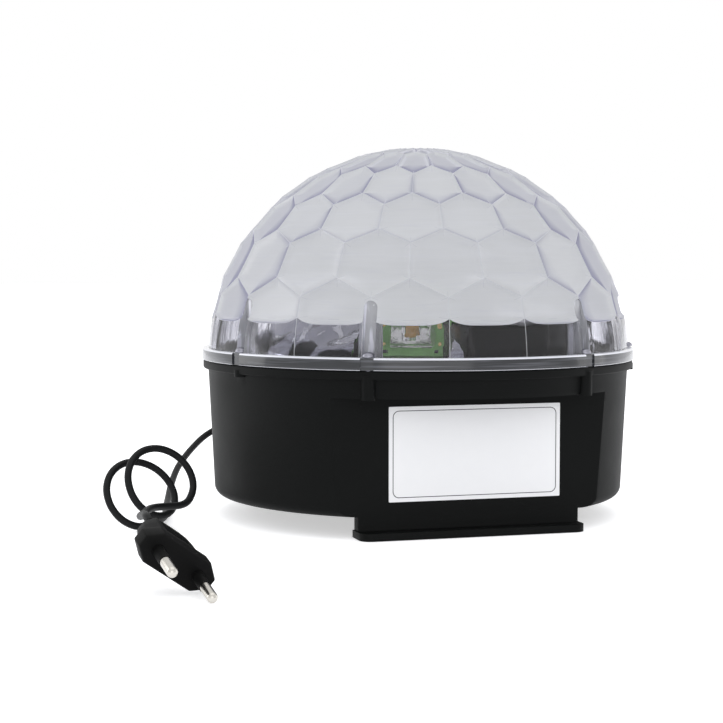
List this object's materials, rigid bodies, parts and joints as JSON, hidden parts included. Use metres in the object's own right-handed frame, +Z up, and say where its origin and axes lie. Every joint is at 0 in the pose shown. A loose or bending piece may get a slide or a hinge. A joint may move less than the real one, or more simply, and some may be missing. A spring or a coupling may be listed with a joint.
{
  "type": "led disco ball light",
  "caption": "Mains-powered LED disco ball lamp: faceted clear dome over LED heads and a motor-turned lens, on a round black base with a flat label side, switch, cord and plug.",
  "frame": {"origin": "on the floor, under the dome's axis", "axes": "+Z up along the dome's axis; the flat label side faces -Y; the mode switch is at +Y"},
  "size_m": [0.2606, 0.3178, 0.1697],
  "materials": {
    "black_plastic": "fine moulded grain",
    "gloss_black": "polished",
    "clear_plastic": "polished clear",
    "mirror_plastic": "vacuum-metallised",
    "white_paper": "printed film, left bare",
    "green_board": "solder resist",
    "amber_emitter": "silicone dome",
    "zinc": "zinc plated",
    "steel": "turned",
    "chrome": "nickel plated",
    "aluminium": "satin",
    "white_plastic": "moulded",
    "yellow_tape": "tape wrap",
    "blue_terminal": "moulded",
    "black_rubber": "soft moulded"
  },
  "bodies": {
    "housing": {"base_housing": "black_plastic", "deck_plate": "black_plastic", "control_chip": "black_plastic", "plug_body": "black_plastic", "led_carrier": "gloss_black", "driver_cover": "gloss_black", "switch_body": "gloss_black", "input_capacitor": "gloss_black", "output_capacitor": "gloss_black", "dome_cover": "clear_plastic", "led_lens_1": "clear_plastic", "led_lens_2": "clear_plastic", "led_lens_3": "clear_plastic", "reflector_tray": "mirror_plastic", "label_plate": "white_paper", "led_board_1": "green_board", "led_board_2": "green_board", "led_board_3": "green_board", "control_board": "green_board", "power_board": "green_board", "led_emitter_1": "amber_emitter", "led_emitter_2": "amber_emitter", "led_emitter_3": "amber_emitter", "dome_screw_1": "zinc", "dome_screw_2": "zinc", "dome_screw_3": "zinc", "dome_screw_4": "zinc", "dome_screw_5": "zinc", "dome_screw_6": "zinc", "deck_screw_1": "zinc", "deck_screw_2": "zinc", "deck_screw_3": "zinc", "deck_screw_4": "zinc", "carrier_screw_1": "zinc", "carrier_screw_2": "zinc", "carrier_screw_3": "zinc", "motor_screw_1": "zinc", "motor_screw_2": "zinc", "board_screw_1": "zinc", "board_screw_2": "zinc", "board_screw_3": "zinc", "board_screw_4": "zinc", "microphone": "steel", "plug_pin_1": "chrome", "plug_pin_2": "chrome", "gear_motor": "aluminium", "fuse": "white_plastic", "transformer": "yellow_tape", "terminal_block": "blue_terminal", "cord_relief": "black_rubber", "power_cord": "black_rubber"},
    "rotor": {"motor_shaft": "steel", "rotor_hub": "white_plastic", "lens_rotor": "clear_plastic", "hub_screw": "zinc"},
    "rocker": {"switch_rocker": "black_plastic"}
  },
  "joints": [
    {"name": "rotor_spin", "type": "hinge", "parent": "housing", "child": "rotor", "pos_m": [0, 0, 0.0694], "axis": [0, 0, 1], "continuous": true},
    {"name": "switch_rock", "type": "hinge", "parent": "housing", "child": "rocker", "pos_m": [0, 0.0945, 0.038], "axis": [1, 0, 0], "range_deg": [0, 16]}
  ]
}
